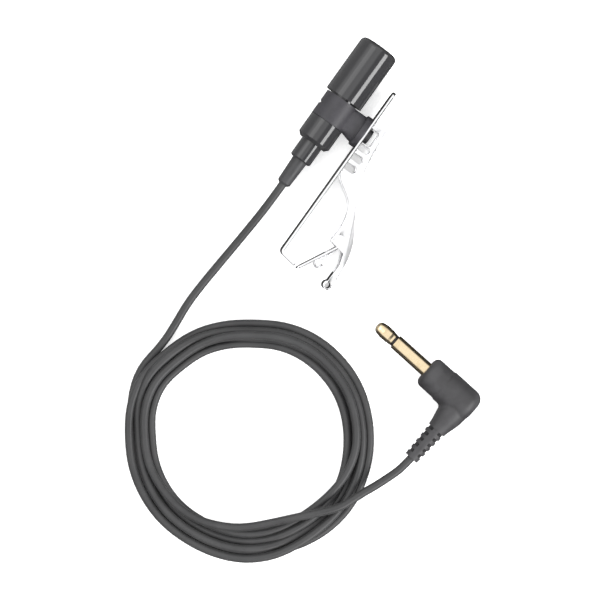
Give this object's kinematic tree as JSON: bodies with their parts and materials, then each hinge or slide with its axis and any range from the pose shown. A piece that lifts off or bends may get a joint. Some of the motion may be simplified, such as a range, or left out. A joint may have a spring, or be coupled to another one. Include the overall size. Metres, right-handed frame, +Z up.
{
  "type": "lavalier microphone",
  "caption": "Clip-on lavalier microphone on a turning holder with a sprung toothed clip, a thin coiled lead and a right-angle mono jack plug.",
  "frame": {"origin": "middle of the base of the microphone with its clip, lying on a flat surface, without the lead", "axes": "+Y along the microphone towards its head, +X from the microphone to its clip, +Z up"},
  "size_m": [0.0716, 0.121, 0.0096],
  "materials": {
    "black_gloss": "gloss black lacquer on turned brass",
    "cloth": "woven",
    "rubber": "matte",
    "bare_aluminium": "satin",
    "bare_brass": "satin",
    "white_plastic": "matte",
    "board": "lacquered",
    "black_plastic": "matte",
    "solder": "dull",
    "wire": "smooth",
    "cable": "matte",
    "nickel": "bright nickel plate",
    "spring_wire": "drawn wire",
    "gold": "bright gold plate",
    "insulator": "gloss",
    "moulding": "matte moulded"
  },
  "bodies": {
    "microphone": {"head_shell": "black_gloss", "front_grille": "black_gloss", "grille_cloth": "cloth", "capsule_boot": "rubber", "capsule_can": "bare_aluminium", "diaphragm": "bare_brass", "diaphragm_spacer": "white_plastic", "back_plate": "bare_brass", "plate_cup": "white_plastic", "contact_ring": "bare_brass", "circuit_board": "board", "transistor": "black_plastic", "solder_pads": "solder", "body_shell": "black_gloss", "rear_sleeve": "black_gloss", "relief_boot": "rubber", "cable_crimp": "solder", "cable_end": "cable", "capsule_wires": "wire", "plug_tip": "gold", "plug_insulator": "insulator", "plug_sleeve": "gold", "plug_core": "insulator", "plug_housing": "moulding", "cable_lead": "cable", "cable_coil": "cable", "cable_tail": "cable"},
    "holder": {"holder": "black_plastic", "swivel_rivet": "black_plastic"},
    "clip": {"clip_base": "nickel", "pivot_pin": "nickel", "clip_spring": "spring_wire"},
    "lever": {"clip_lever": "nickel"}
  },
  "joints": [
    {"name": "holder_turn", "type": "hinge", "parent": "microphone", "child": "holder", "pos_m": [-0.00922, 0.0083, 0.0048], "axis": [0, 1, 0], "continuous": true},
    {"name": "clip_swivel", "type": "hinge", "parent": "holder", "child": "clip", "pos_m": [-0.00076, 0.008, 0.00401], "axis": [0.9957, 0, -0.0931], "continuous": true},
    {"name": "lever_open", "type": "hinge", "parent": "clip", "child": "lever", "pos_m": [0.009, -0.0155, 0.0031], "axis": [-0.0931, 0, -0.9957], "range_deg": [0, 18], "stiffness_Nm_per_rad": 0.05, "springref_deg": -22.92, "deforming": ["clip_spring"]}
  ]
}
